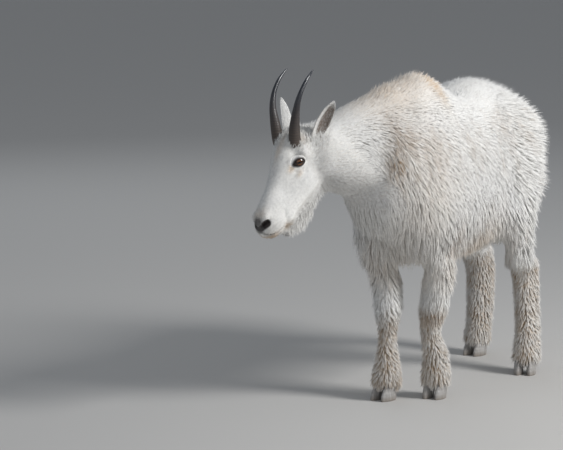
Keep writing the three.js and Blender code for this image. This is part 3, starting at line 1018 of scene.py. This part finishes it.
def makeLids(name):
    # a closed band: mixes of the slit's edge on the ball and a wider rim on the skin, lifted by a half
    # sine, and back underneath
    side = sides[name]
    rows, steps = eyes["lidGrid"]
    angle = around(rows)
    rise = np.sin(angle)
    long, above, below = eyes["slit"]
    x = long * np.cos(angle)
    y = np.where(rise > 0, above, below) * rounded(rise, 1.15) - eyes["tear"] * ramp(-np.cos(angle), 0.6, 1)
    a, b, c = eyes["half"]
    z = c * np.sqrt(np.clip(1 - (x / a) ** 2 - (y / b) ** 2, 0.02, 1))
    wide, higher = eyes["flange"]
    rim, normal = onSkin(fromEye(np.stack([x * wide, y * wide * higher, z * 0.4 + 4], 1), side), skin)
    rim = (rim - normal * 0.002)[:, None]
    edge = fromEye(np.stack([x, y, z + 0.3], 1), side)[:, None]
    out = headAxes @ (eyeAxes[:, 2] * (1, side, 1))
    share = np.linspace(0, 1, steps)[None, :, None]
    upper = (rise > 0)[:, None, None]
    swell = np.where(upper, *eyes["fold"]) / 1000
    crease = eyes["crease"] / 1000 * np.exp(-(((share - 0.5) / 0.1) ** 2)) * upper
    lift = 0.0006 + swell * np.sin(np.pi * share) ** 0.8 * (1 - 0.35 * share) - crease
    over = mix(edge, rim, share) + out * lift
    under = mix(edge, rim, share[:, ::-1]) - out * (eyes["lidDepth"] / 1000)
    points = np.concatenate([over, under], 1).reshape(-1, 3)
    faces = outward(points, gridFaces(rows, 2 * steps, closed=True))
    piece = newPiece(f"lids{name.title()}", points, [faces], skinMaterial)
    bare = np.concatenate([ramp(share[0, :, 0], 0.75, 0.15), np.ones(steps)])
    count = len(points)
    # an along of 0.95 mixes in a little of the under colour: underfur tone and painted shade
    setValues(piece, bare=np.tile(bare, rows), along=np.full(count, 0.95), tint=np.full(count, 0.5),
              softNormal=pointNormals(*meshArrays(piece.data)))
    return settled(piece, "coat")


# Claws: two to a foot, with a flat sole. Mm, from the foot's middle, forward and up.
claws = {
    "toe": {"front_left": 2, "front_right": -10, "hind_left": 14, "hind_right": -8},  # degrees, to the left
    "middle": 10.5,  # how far forward of the foot's middle a claw's box has its middle
    "height": 50,
    "lean": 14,  # how far the sole is forward of the top
    "wide": (14, 14.4, 13.6, 10),
    "fore": (31, 31, 26, 18),
    "aft": (31, 30, 28, 23),
    "inner": 0.8,  # the side to the other claw is this much flatter
    "point": 0.3,  # how much narrower it is at the toe
    "edge": 0.05,  # how much the sole is drawn in
    "rings": (0.014, 34),  # how high the growth rings are, and their wave's speed
    "grid": (40, 36),
}


def makeHoofMaterial():
    # pale grey horn with faint rings and upright lines, earthy at the sole
    material, wire, plug = newMaterial("hoof", 0.5, 0.4)
    lines = wire.place().mapped(Scale=(260, 260, 22)).noise(1, 3)
    rings = wire.place().mapped(Scale=(12, 12, 260)).noise(1, 2)
    earth = ((1 - wire.value("along") * 3) * (rings + 0.4)).clipped() * 0.75
    paint = wire.blend((lines * 1.4 - 0.3).clipped(), colour("8f8b87"), colour("c4c2c0"))
    plug(Base_Color=wire.blend(earth, paint, colour("776a5c")))
    plug(Normal=(lines * 0.5 + rings * 0.5).bump(0.4, 0.0008))
    return material


def makeClaw(leg, which, material):
    # level ovals stacked from the sole up: longer before than behind, flatter on the side to the other claw,
    # pointed at the toe, and each a little further back than the one under it
    node, otherNode = f"hoof_{leg}_{which}", f"hoof_{leg}_{'inner' if which == 'outer' else 'outer'}"
    heading = np.radians(claws["toe"][leg])
    ahead = np.array((np.cos(heading), np.sin(heading), 0))
    beside = np.array((-np.sin(heading), np.cos(heading), 0))
    foot = middleOf(node) * (1, 1, 0) - ahead * claws["middle"] / 1000
    inward = np.sign((middleOf(otherNode) - middleOf(node)) @ beside)
    rows, columns = claws["grid"]
    share = np.append(0, np.linspace(0.03, 1, rows - 1))[:, None]
    angle = around(columns)[None]
    sizes = np.stack([claws[k] for k in ("wide", "fore", "aft")], 1)
    wide, fore, aft = through(sizes, share[:, 0]).T[:, :, None]
    ringHeight, speed = claws["rings"]
    size = 1 - claws["edge"] * (share == 0)
    size = size * (1 + ringHeight * np.sin(share * speed) * ramp(share, 0.1, 0.3))
    along = np.cos(angle) * np.where(np.cos(angle) > 0, fore, aft) * size
    flat = np.where(np.sin(angle) * inward > 0, claws["inner"], 1)
    across = rounded(np.sin(angle), 0.8) * wide * size * flat
    across = across * (1 - claws["point"] * ramp(np.cos(angle), 0.3, 1))
    shift = claws["lean"] * (1 - share**1.3)
    ring = (along + shift)[..., None] * ahead + across[..., None] * beside
    ring = foot + (ring + (share * claws["height"])[..., None] * np.array((0, 0, 1.0))) / 1000
    points, faces = closedRings(ring)
    piece = newPiece(f"claw_{leg}_{which}", points, [outward(points, faces[0]), *faces[1:]], material)
    setValues(piece, along=ringValues(share[:, 0], columns))
    settled(piece, "hoof", node)


# Finding the skin under a point: a small node tree gives the nearest place and its soft normal
def nearestTree():
    tree = bpy.data.node_groups.new("nearest on skin", "GeometryNodeTree")
    for way in ("INPUT", "OUTPUT"):
        tree.interface.new_socket(name="Geometry", in_out=way, socket_type="NodeSocketGeometry")
    vector = {"data_type": "FLOAT_VECTOR"}
    wire = Wire(tree)
    target = wire.node("GeometryNodeObjectInfo", output="Geometry")
    normal = wire.node("GeometryNodeInputNamedAttribute", vector, Name="softNormal")
    place = wire.node("GeometryNodeInputPosition")
    normal, place = (wire.node("GeometryNodeSampleNearestSurface", vector, Mesh=target, Value=v)
                     for v in (normal, place))
    start = wire.node("NodeGroupInput")
    stored = wire.node("GeometryNodeStoreNamedAttribute", vector, Geometry=start, Name="softNormal",
                       Value=normal)
    moved = wire.node("GeometryNodeSetPosition", Geometry=stored, Position=place)
    tree.links.new(moved.socket, tree.nodes.new("NodeGroupOutput").inputs[0])
    return tree, target.socket.node.inputs["Object"]


nearest, nearestTarget = nearestTree()


def onSkin(points, target):
    # for each point, the nearest place on the target piece and the soft normal there
    nearestTarget.default_value = target
    mesh = bpy.data.meshes.new("probe")
    mesh.vertices.add(len(points))
    mesh.vertices.foreach_set("co", points.astype(np.float32).ravel())
    probe = bpy.data.objects.new("probe", mesh)
    bpy.context.scene.collection.objects.link(probe)
    probe.modifiers.new("nearest", "NODES").node_group = nearest
    found = probe.evaluated_get(bpy.context.evaluated_depsgraph_get()).data.attributes
    places, normals = (readVectors(found[name].data, "vector") for name in ("position", "softNormal"))
    bpy.data.objects.remove(probe)
    bpy.data.meshes.remove(mesh)
    return places, unit(normals)


def nearestValue(piece, values, places):
    # for each place, the value of the piece's nearest point
    points, _ = meshArrays(piece.data)
    found = np.empty(len(places))
    step = 500  # places at a time, to spare memory
    for start in range(0, len(places), step):
        some = places[start:start + step]
        found[start:start + step] = values[((some[:, None] - points[None]) ** 2).sum(-1).argmin(1)]
    return found


# Tufts
tufts = {
    "guards": 0.12,  # the share of them that stands above the rest
    "guardLength": (1.05, 1.3),  # least and most, in the coat's lengths
    "length": (0.65, 1.05),
    "guardHeight": (0.85, 1.05),  # in the coat's depths
    "height": (0.42, 0.86),
    "width": (0.7, 1.25),
    "stray": 0.13,  # how far each lies off the comb's way
    "rooted": 0.0015,  # how far under the skin a root is
    "lockStep": 0.004,  # a lock's width is a whole number of these
    "ridge": 0.55,  # a tuft's thickness to its half width
    "leastHeight": 0.0006,  # over the floor
    "patch": 0.003,  # a tuft's size on the bake's map
    "taper": {1: (1.0,), 2: (0.75, 1.0), 3: (0.75, 1.0, 0.72)},  # its widths, by its number of steps
}


def rootsOn(piece, numberAt):
    # roots spread over the piece: evenly spaced steps through its triangles, each with a place inside its
    # triangle; a "keep" value on the piece thins them out
    points, faces = meshArrays(piece.data)
    normals = readVectors(piece.data.attributes["softNormal"].data, "vector")
    corners = points[faces]
    area = np.linalg.norm(np.cross(corners[:, 1] - corners[:, 0], corners[:, 2] - corners[:, 0]), axis=1) / 2
    if "keep" in piece.data.attributes:
        keep = np.empty(len(points), np.float32)
        piece.data.attributes["keep"].data.foreach_get("value", keep)
        area = area * keep[faces].mean(1)
    due = np.cumsum(area * numberAt(corners.mean(1), unit(normals[faces].mean(1))))
    count = int(due[-1])
    pick = np.searchsorted(due, np.arange(count) + dice.uniform(0, 1, count))
    pick = np.minimum(pick, len(faces) - 1)
    u, v = np.sqrt(dice.uniform(0, 1, count)), dice.uniform(0, 1, count)
    share = np.stack([1 - u, u * (1 - v), u * v], 1)[:, :, None]
    return (corners[pick] * share).sum(1), unit((normals[faces[pick]] * share).sum(1))


def lockedTips(roots, tips, clump, size):
    # hair falls into locks: tips whose roots share a cell of a warped grid lean towards that cell's mean tip
    size = np.round(size / tufts["lockStep"])[:, None] * tufts["lockStep"]
    warp = np.stack([ripple(roots, 0.06, seed) for seed in (21, 23, 25)], 1) * size
    slanted = (roots + warp) @ turned("x", 31) @ turned("z", 37)
    cell = np.floor(slanted / size).astype(int)
    cell = np.concatenate([cell, np.round(size * 1000).astype(int)], 1)
    cell = np.unique(cell, axis=0, return_inverse=True)[1].reshape(-1)
    mean = sumAt(cell, tips, cell.max() + 1) / np.bincount(cell)[:, None]
    return mix(tips, mean[cell], clump[:, None])


def tuftCentres(target, roots, normals, coat, steps):
    # each tuft's middle line: it follows the skin under it, rises towards its tip, and hangs free by its own
    # share; a few guard tufts stand above the rest, and the tips of a lock lean together along the skin
    count = len(roots)
    guard = dice.uniform(0, 1, count) < tufts["guards"]

    def size(guarded, plain):
        return np.where(guard, dice.uniform(*tufts[guarded], count), dice.uniform(*tufts[plain], count))

    def flattened(ways, tops):
        # without the part that stands off the skin
        return ways - (ways * tops).sum(1, keepdims=True) * tops

    length = (coat["length"] * size("guardLength", "length"))[:, None]
    high = coat["depth"] * size("guardHeight", "height")
    lie = unit(flattened(coat["comb"] + dice.normal(0, tufts["stray"], (count, 3)), normals))
    free = coat["free"][:, None]
    fall = unit(unit(coat["comb"] + lie) + normals * coat["lift"][:, None])
    out = (fall * normals).sum(1, keepdims=True)
    most = (high * coat["stand"])[:, None]
    fall = (fall - out * normals) * length + normals * np.minimum(out * length, most)
    centres, tops = [roots - normals * tufts["rooted"]], [normals]
    base, top = roots, normals
    for k in range(1, steps + 1):
        t = k / steps
        base, top = onSkin(base + lie * (length / steps), target)
        lie = unit(flattened(lie, top))
        followed = base + top * (high * t**0.7)[:, None]
        centres.append(mix(followed, roots + fall * t, free))
        tops.append(unit(mix(top, normals, free)))
    shift = lockedTips(roots, centres[-1], coat["clump"], coat["lock"]) - centres[-1]
    shift = flattened(shift, tops[-1])
    for k in range(1, steps + 1):
        centres[k] = centres[k] + shift * (k / steps) ** 1.5
    return np.stack(centres, 1), np.stack(tops, 1)


def tuftFaces(rings):
    # the faces of one tuft, its closed root first, and which of them look towards the skin
    faces, under = [[0, 2, 1]], [False]
    for k in range(rings - 1):
        for i in range(3):
            a, d = k * 3 + i, k * 3 + (i + 1) % 3
            faces += [[a, d + 3, a + 3], [a, d, d + 3]]
            under += [i == 2] * 2
    for i in range(3):
        faces.append([(rings - 1) * 3 + i, (rings - 1) * 3 + (i + 1) % 3, rings * 3])
        under.append(i == 2)
    return np.array(faces), np.array(under)


def tuftMesh(centres, tops, width):
    # three-sided blades: at each step two edges and a ridge round the middle line, then one tip. A tuft that
    # lies down is shaded as the surface under it, one that stands up by its own sides. The underside looks
    # away from the skin.
    count, rings = centres.shape[0], centres.shape[1] - 1
    ahead = unit(np.gradient(centres, axis=1))
    beside = unit(np.cross(tops, ahead))
    out = unit(np.cross(ahead, beside))
    half = (width[:, None] * np.array(tufts["taper"][rings]) / 2)[:, :, None]
    c, b, o = centres[:, :-1], beside[:, :-1], out[:, :-1]
    ring = np.stack([c + b * half, c + o * half * tufts["ridge"], c - b * half], 2)  # count, rings, 3 corners
    points = np.concatenate([ring.reshape(count, -1, 3), centres[:, -1:]], 1)
    each = rings * 3 + 1
    faces, under = tuftFaces(rings)
    along = np.concatenate([np.repeat(np.linspace(0, 1, rings + 1)[:-1], 3), [1]])
    across = np.concatenate([np.tile((-1.0, 0.0, 1.0), rings), [0]])
    lying = 1 - 0.4 * (ahead * tops).sum(-1, keepdims=True) ** 2
    soft = (tops * lying)[:, :-1, None] + np.stack([b, o, -b], 2) * (1.25 - lying)[:, :-1, None]
    soft = np.concatenate([soft.reshape(count, -1, 3), mix(out, tops, lying)[:, -1:]], 1)
    away = np.array((0, 0, 0.5)) - np.concatenate([np.repeat(o, 3, 1), out[:, -1:]], 1)
    shading = np.where(under[None, :, None, None], away[:, faces], soft[:, faces])
    faces = faces[None] + (np.arange(count) * each)[:, None, None]
    return points.reshape(-1, 3), faces.reshape(-1, 3), along, across, unit(shading).reshape(-1, 3)


def newCoat(name, target, roots, normals, coat, steps, unwrapped, marks=None):
    # a piece of coat: its tufts' mesh, their colours and soft normals, and a patch of the bake's map for each
    count = len(roots)
    centres, tops = tuftCentres(target, roots, normals, coat, steps)
    width = coat["width"] * dice.uniform(*tufts["width"], count)
    points, faces, along, across, shading = tuftMesh(centres, tops, width)
    points[:, 2] = np.maximum(points[:, 2], tufts["leastHeight"])
    piece = newPiece(name, points, [faces], tuftMaterial)
    marks = marks or {**markings(roots), "bare": 0.85 * padShare(toHead(roots))}
    tint = np.clip(0.5 + 0.2 * ripple(roots, 0.03, 31) + dice.normal(0, 0.25, count), 0, 1)
    marks = {"bare": np.zeros(count), "tint": tint, **marks}
    marks = {key: np.repeat(value, len(along)) for key, value in marks.items()}
    setValues(piece, along=np.tile(along, count), across=np.tile(across, count), **marks)
    piece.data.normals_split_custom_set(shading.astype(np.float32))
    corner = np.tile(np.stack([across / 2, along - 0.5], 1), (count, 1))
    place = np.repeat(unwrapped, len(along), 0) + corner * tufts["patch"]
    layer = piece.data.uv_layers.new(name="OFBake")
    layer.uv.foreach_set("vector", place[faces.ravel()].astype(np.float32).ravel())
    print(name, len(piece.data.polygons))
    return settled(piece, "coat")


hornMaterial = makeHornMaterial()
eyeMaterial = makeEyeMaterial()
hoofMaterial = makeHoofMaterial()
earPieces = {}
lidPieces = {}
for name in sides:
    makeHorn(name, hornMaterial)
    makeEye(name, eyeMaterial)
    lidPieces[name] = makeLids(name)
    earPieces[name] = makeEar(name)
for leg in legs:
    for which in ("outer", "inner"):
        makeClaw(leg, which, hoofMaterial)
print("horns, eyes, ears and claws made")


barrelEnds = (-0.296, -0.036)  # X of its back and front


# The coat is grown in regions, each unwrapped round a middle line of its own: the way along it, the way that
# the unwrap's middle faces, and the line's points
def regionsOfCoat():
    forward, up = (1, 0, 0), (0, 0, 1)
    back, front = barrelEnds
    along = neckTo - neckFrom
    regions = {
        "head": (headAxes[:, 0], headAxes[:, 2], [fromHead((a, 0, -100)) for a in (-120, 260)]),
        "neck": (unit(along), up, [neckFrom - 0.1 * along, neckTo]),
        "chest": (forward, up, [(front, 0.02, 0.64), (0.34, 0.02, 0.62)]),
        "barrel": (forward, up, [(back, 0.0, 0.64), (front, 0.02, 0.64)]),
        "rump": (forward, up, [(-0.65, -0.01, 0.65), (back, 0.0, 0.65)]),
    }
    for leg in legs:
        regions[f"leg_{leg}"] = (up, forward, [(x, y, z) for z, x, y in legLines[leg]])
    return regions


coatRegions = regionsOfCoat()
regionNames = list(coatRegions)
for name, (_, path, _) in earPieces.items():
    coatRegions[f"ear_{name}"] = (unit(path[-1] - path[0]), headAxes[:, 2], path)


def regionOf(points):
    # the number of each point's region
    local = toHead(points)
    onHead = (local[:, 0] > -84) & (local[:, 2] > -275)
    upNeck = (points - neckFrom) @ unit(neckTo - neckFrom)
    onNeck = (upNeck > 0.02) & (points[:, 2] > 0.53)
    leg, away = legPlaces(points)
    onLeg = (points[:, 2] < legHeight(points, "coat")) & (away < 0.13)
    trunk = 4 - np.digitize(points[:, 0], barrelEnds, right=True)
    return np.where(onHead, 0, np.where(onLeg, 5 + leg, np.where(onNeck, 1, trunk)))


def unwrap(points, name):
    # round and along a region's middle line, both from 0 to 1
    ahead, up, middle = (np.array(value, float) for value in coatRegions[name])
    up = unit(up - (ahead @ up) * ahead)
    at, stops = points @ ahead, middle @ ahead
    centre = np.stack([np.interp(at, stops, column) for column in middle.T], 1)
    off = points - centre
    turn = np.arctan2(off @ np.cross(ahead, up), off @ up) / (2 * np.pi) + 0.5
    low, high = at.min(), at.max()
    return 0.01 + 0.98 * np.stack([turn, (at - low) / (high - low)], 1)


def evenCoat(count, **sizes):
    # one value of each size for all of the tufts of a small piece, or a value for each; lengths in mm
    shared = dict(depth=1.5, length=6, width=1.2, free=0.2, lift=0.25, stand=1, clump=0, lock=5)
    shared.update(sizes)
    return {k: np.full(count, 1.0) * v / (1000 if k in coatLengths else 1) for k, v in shared.items()}


hairsPerArea = {"ear": 190000.0, "lid": 300000.0}  # tufts a square metre, on the small pieces


def growEarCoat(name):
    # short hair on both faces, towards the tip, longer and fluffier at the foot
    ear, path, hollow = earPieces[name]
    roots, normals = rootsOn(ear, lambda p, n: np.full(len(p), hairsPerArea["ear"]))
    count = len(roots)
    run = path[-1] - path[0]
    foot = ramp((roots - path[0]) @ run / (run @ run), 0.4, 0.05)
    coat = evenCoat(count, depth=2 + 7 * foot, length=10 + 14 * foot, width=1.5 + 0.5 * foot,
                    free=0.3 + 0.5 * foot)
    coat["comb"] = unit(unit(path[-1] - path[1]) + dice.normal(0, 0.12, (count, 3)))
    # the hair takes the hollow's tone and painted shade from the ear under it
    dark = nearestValue(ear, hollow, roots)
    marks = {"hollow": dark * dice.uniform(0.6, 1, count), "tan": np.zeros(count)}
    newCoat(f"coat_ear_{name}", ear, roots, normals, coat, 2, unwrap(roots, f"ear_{name}"), marks)


def growLidCoat(name):
    # the shortest hair, out and back from the bare margin of the lids, on their outer face only
    lids, side = lidPieces[name], sides[name]
    middle = fromEye(np.zeros((1, 3)), side)

    def numberAt(points, normals):
        slits = aroundEye(points)
        outside = ((points - middle) * normals).sum(1) > 0
        return hairsPerArea["lid"] * ramp(slits, 1.1, 1.18) * ramp(slits, 1.5, 1.35) * outside

    roots, normals = rootsOn(lids, numberAt)
    count = len(roots)
    coat = evenCoat(count, depth=0.9, length=4, width=0.9)
    back = headAxes @ np.array((-1, 0.2 * side, 0.1))
    coat["comb"] = unit(awayFromEye(roots) * 1.4 + back * 0.7 + dice.normal(0, 0.15, (count, 3)))
    marks = {"tan": np.full(count, 0.25), "bare": 0.6 * ramp(aroundEye(roots), 1.45, 1.1)}
    newCoat(f"coat_lids_{name}", lids, roots, normals, coat, 1, unwrap(roots, "head"), marks)


# Shorter tufts need fewer steps: the lengths where the number changes, in metres
coatSteps = {"length": (0.014, 0.0555), "steps": (1, 2, 3), "name": ("fine", "short", "long")}
mostTriangles = 185000  # in a piece of coat
fewestTufts = 20  # fewer than these make no piece


def growCoat():
    # roots all over the skin, parted by region and by length, and in blocks where a piece would grow too big
    roots, normals = rootsOn(skin, lambda p, n: coatAt(p, n)["number"])
    coat = coatAt(roots, normals)
    region = regionOf(roots)
    kinds = np.digitize(coat["length"], coatSteps["length"])
    total = 0
    for number, name in enumerate(regionNames):
        for kind, steps in enumerate(coatSteps["steps"]):
            chosen = np.flatnonzero((region == number) & (kinds == kind))
            if len(chosen) < fewestTufts:
                continue
            flat = unwrap(roots[chosen], name)
            blocks = int(np.ceil(len(chosen) / (mostTriangles // len(tuftFaces(steps)[0]))))
            for block in range(blocks):
                some = chosen[block::blocks]
                part = {key: value[some] for key, value in coat.items()}
                title = f"coat_{name}_{coatSteps['name'][kind]}" + (f"_{block + 1}" if blocks > 1 else "")
                piece = newCoat(title, skin, roots[some], normals[some], part, steps, flat[block::blocks])
                total += len(piece.data.polygons)
    print("coat grown,", total, "triangles")


growCoat()
for name in sides:
    growEarCoat(name)
for name in sides:
    growLidCoat(name)


# Floor and light
stage = {
    "floor": colour("c9c7c4"),
    "reach": 40,  # metres, past the picture's top edge
    "grid": (14, 96),
}


def makeStage():
    # a flat round floor: rings whose radius grows with the square of their number, round a middle point
    rows, columns = stage["grid"]
    radius = stage["reach"] * (np.arange(1, rows + 1) / rows)[:, None] ** 2
    angle = around(columns)[None]
    rings = np.stack([radius * np.cos(angle), radius * np.sin(angle), 0 * radius * angle], -1)
    here = np.arange(columns)
    middle = np.stack([np.full(columns, rows * columns), here, (here + 1) % columns], 1)
    points = np.concatenate([rings.reshape(-1, 3), np.zeros((1, 3))])
    material = newMaterial("paper", 0.9, 0.2)[0]
    material.node_tree.nodes["Principled BSDF"].inputs["Base Color"].default_value = stage["floor"]
    newPiece("stage", points, [gridFaces(rows, columns)[:, ::-1], middle], material)


lights = [
    {"name": "key", "from": (-0.2, 3.5, 2.95), "size": 1.4, "watts": 150, "tint": (1.0, 0.995, 0.985)},
    {"name": "fill", "from": (3.4, -2.4, 2.1), "size": 2.6, "watts": 10, "tint": (0.84, 0.91, 1.0)},
    {"name": "back", "from": (-3.4, -3.2, 3.0), "size": 3.0, "watts": 22, "tint": (0.9, 0.95, 1.0)},
    {"name": "front", "from": (3.2, 2.6, 2.4), "size": 2.0, "watts": 10, "tint": (1.0, 1.0, 1.0)},
]
aim = (0, 0, 0.5)  # what the lamps point at
room = {"Color": (0.86, 0.92, 1.0, 1), "Strength": 0.27}


def makeLights():
    for light in lights:
        lamp = bpy.data.lights.new(light["name"], "AREA")
        lamp.size = light["size"]
        lamp.energy = light["watts"]
        lamp.color = light["tint"]
        lit = bpy.data.objects.new(light["name"], lamp)
        lit.location = light["from"]
        lit.rotation_euler = (Vector(aim) - lit.location).to_track_quat("-Z", "Y").to_euler()
        bpy.context.scene.collection.objects.link(lit)
    world = bpy.data.worlds.new("world")
    world.use_nodes = True
    for socket, value in room.items():
        world.node_tree.nodes["Background"].inputs[socket].default_value = value
    bpy.context.scene.world = world
    bpy.context.scene.view_settings.view_transform = "Standard"


makeStage()
makeLights()
print("stage and lights set")
